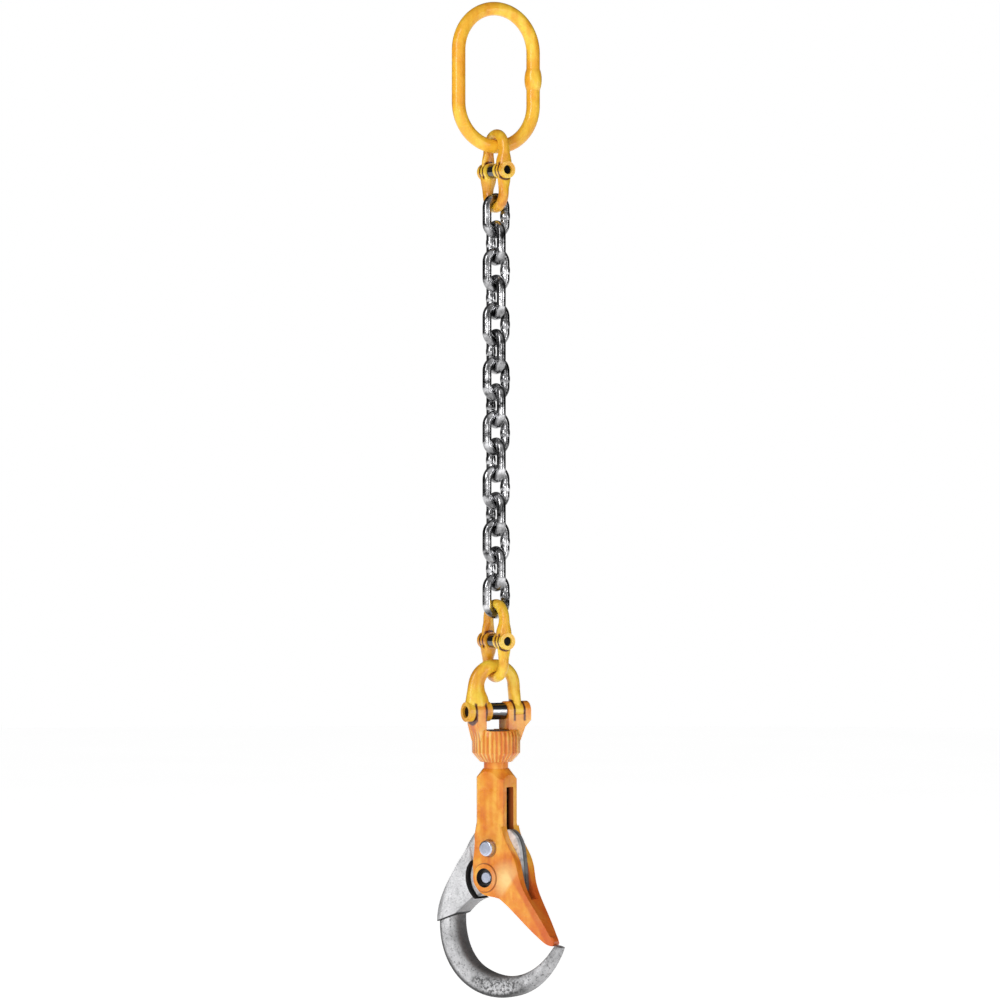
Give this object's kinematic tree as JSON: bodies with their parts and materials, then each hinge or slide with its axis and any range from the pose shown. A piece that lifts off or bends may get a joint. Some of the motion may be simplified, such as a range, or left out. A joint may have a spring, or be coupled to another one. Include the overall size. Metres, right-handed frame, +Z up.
{
  "type": "chain sling",
  "caption": "Single-leg chain sling with an oval master link, coupling links and a self-locking swivel hook.",
  "frame": {"origin": "on the load line, where the inner top of the master link rests on the crane hook", "axes": "+Z up along the sling; X across the master link; the swivel hook's plane is turned 67 degrees from X about Z"},
  "size_m": [0.0897, 0.1259, 0.8796],
  "materials": {
    "master_link_paint": "satin powder coat",
    "coupling_paint": "satin powder coat",
    "bow_paint": "satin powder coat",
    "hook_paint": "satin powder coat over a forging",
    "chain_steel": "polished by tumbling, self coloured",
    "sleeve_steel": "glossy dark",
    "load_pin_steel": "plated",
    "forged_steel": "shot-blasted forging",
    "trigger_steel": "worn casting skin",
    "pin_steel": "bright zinc",
    "hidden_steel": "plain steel"
  },
  "bodies": {
    "master": {"master_link": "master_link_paint"},
    "upper_coupling_top": {"upper_coupling_top_half": "coupling_paint", "upper_coupling_pin": "load_pin_steel", "upper_coupling_sleeve": "sleeve_steel"},
    "upper_coupling_bottom": {"upper_coupling_bottom_half": "coupling_paint"},
    "link_01": {"chain_link_01": "chain_steel"},
    "link_02": {"chain_link_02": "chain_steel"},
    "link_03": {"chain_link_03": "chain_steel"},
    "link_04": {"chain_link_04": "chain_steel"},
    "link_05": {"chain_link_05": "chain_steel"},
    "link_06": {"chain_link_06": "chain_steel"},
    "link_07": {"chain_link_07": "chain_steel"},
    "link_08": {"chain_link_08": "chain_steel"},
    "link_09": {"chain_link_09": "chain_steel"},
    "link_10": {"chain_link_10": "chain_steel"},
    "link_11": {"chain_link_11": "chain_steel"},
    "link_12": {"chain_link_12": "chain_steel"},
    "link_13": {"chain_link_13": "chain_steel"},
    "link_14": {"chain_link_14": "chain_steel"},
    "link_15": {"chain_link_15": "chain_steel"},
    "lower_coupling_top": {"lower_coupling_top_half": "coupling_paint", "lower_coupling_pin": "load_pin_steel", "lower_coupling_sleeve": "sleeve_steel"},
    "lower_coupling_bottom": {"lower_coupling_bottom_half": "coupling_paint"},
    "bow": {"bow_shackle": "bow_paint", "bow_pin": "load_pin_steel", "bow_sleeve": "sleeve_steel"},
    "head": {"swivel_head": "hook_paint", "swivel_cap": "hidden_steel", "swivel_thrust_washer": "hidden_steel"},
    "frame": {"hook_frame": "hook_paint", "swivel_nut": "hidden_steel", "swivel_lock_pin": "hidden_steel", "hook_pivot_pin": "pin_steel", "trigger_pin": "pin_steel", "trigger_spring": "hidden_steel"},
    "hook": {"hook": "forged_steel"},
    "trigger": {"trigger": "trigger_steel"}
  },
  "joints": [
    {"name": "master_to_coupling", "type": "hinge", "parent": "master", "child": "upper_coupling_top", "pos_m": [0, 0, -0.116], "axis": [1, 0, 0], "range_deg": [-60, 60]},
    {"name": "upper_coupling_pin_hinge", "type": "hinge", "parent": "upper_coupling_top", "child": "upper_coupling_bottom", "pos_m": [0, 0, -0.1375], "axis": [0, 1, 0], "range_deg": [-45, 45]},
    {"name": "chain_joint_01", "type": "hinge", "parent": "upper_coupling_bottom", "child": "link_01", "pos_m": [0, 0, -0.16975], "axis": [0, -1, 0], "range_deg": [-60, 60]},
    {"name": "chain_joint_02", "type": "hinge", "parent": "link_01", "child": "link_02", "pos_m": [0, 0, -0.19325], "axis": [-1, 0, 0], "range_deg": [-60, 60]},
    {"name": "chain_joint_03", "type": "hinge", "parent": "link_02", "child": "link_03", "pos_m": [0, 0, -0.21725], "axis": [0, 1, 0], "range_deg": [-60, 60]},
    {"name": "chain_joint_04", "type": "hinge", "parent": "link_03", "child": "link_04", "pos_m": [0, 0, -0.24125], "axis": [1, 0, 0], "range_deg": [-60, 60]},
    {"name": "chain_joint_05", "type": "hinge", "parent": "link_04", "child": "link_05", "pos_m": [0, 0, -0.26525], "axis": [0, -1, 0], "range_deg": [-60, 60]},
    {"name": "chain_joint_06", "type": "hinge", "parent": "link_05", "child": "link_06", "pos_m": [0, 0, -0.28925], "axis": [-1, 0, 0], "range_deg": [-60, 60]},
    {"name": "chain_joint_07", "type": "hinge", "parent": "link_06", "child": "link_07", "pos_m": [0, 0, -0.31325], "axis": [0, 1, 0], "range_deg": [-60, 60]},
    {"name": "chain_joint_08", "type": "hinge", "parent": "link_07", "child": "link_08", "pos_m": [0, 0, -0.33725], "axis": [1, 0, 0], "range_deg": [-60, 60]},
    {"name": "chain_joint_09", "type": "hinge", "parent": "link_08", "child": "link_09", "pos_m": [0, 0, -0.36125], "axis": [0, -1, 0], "range_deg": [-60, 60]},
    {"name": "chain_joint_10", "type": "hinge", "parent": "link_09", "child": "link_10", "pos_m": [0, 0, -0.38525], "axis": [-1, 0, 0], "range_deg": [-60, 60]},
    {"name": "chain_joint_11", "type": "hinge", "parent": "link_10", "child": "link_11", "pos_m": [0, 0, -0.40925], "axis": [0, 1, 0], "range_deg": [-60, 60]},
    {"name": "chain_joint_12", "type": "hinge", "parent": "link_11", "child": "link_12", "pos_m": [0, 0, -0.43325], "axis": [1, 0, 0], "range_deg": [-60, 60]},
    {"name": "chain_joint_13", "type": "hinge", "parent": "link_12", "child": "link_13", "pos_m": [0, 0, -0.45725], "axis": [0, -1, 0], "range_deg": [-60, 60]},
    {"name": "chain_joint_14", "type": "hinge", "parent": "link_13", "child": "link_14", "pos_m": [0, 0, -0.48125], "axis": [-1, 0, 0], "range_deg": [-60, 60]},
    {"name": "chain_joint_15", "type": "hinge", "parent": "link_14", "child": "link_15", "pos_m": [0, 0, -0.50525], "axis": [0, 1, 0], "range_deg": [-60, 60]},
    {"name": "chain_to_lower_coupling", "type": "hinge", "parent": "link_15", "child": "lower_coupling_top", "pos_m": [0, 0, -0.52925], "axis": [1, 0, 0], "range_deg": [-60, 60]},
    {"name": "lower_coupling_pin_hinge", "type": "hinge", "parent": "lower_coupling_top", "child": "lower_coupling_bottom", "pos_m": [0, 0, -0.55275], "axis": [0, -1, 0], "range_deg": [-45, 45]},
    {"name": "coupling_to_bow", "type": "hinge", "parent": "lower_coupling_bottom", "child": "bow", "pos_m": [0, 0, -0.585], "axis": [0, 1, 0], "range_deg": [-60, 60]},
    {"name": "bow_pin_hinge", "type": "hinge", "parent": "bow", "child": "head", "pos_m": [0, 0, -0.615], "axis": [-1, 0, 0], "range_deg": [-40, 40]},
    {"name": "swivel", "type": "hinge", "parent": "head", "child": "frame", "pos_m": [0, 0, -0.645], "axis": [0, 0, 1], "continuous": true},
    {"name": "hook_hinge", "type": "hinge", "parent": "frame", "child": "hook", "pos_m": [-0.00094, 0.00221, -0.7616], "axis": [0.9205, 0.3907, 0], "range_deg": [0, 20]},
    {"name": "trigger_hinge", "type": "hinge", "parent": "frame", "child": "trigger", "pos_m": [0.00086, -0.00203, -0.7352], "axis": [-0.9205, -0.3907, 0], "range_deg": [0, 12]}
  ],
  "couplings": [
    {"joint": "trigger_hinge", "follows": "hook_hinge", "ratio": 0.6}
  ]
}
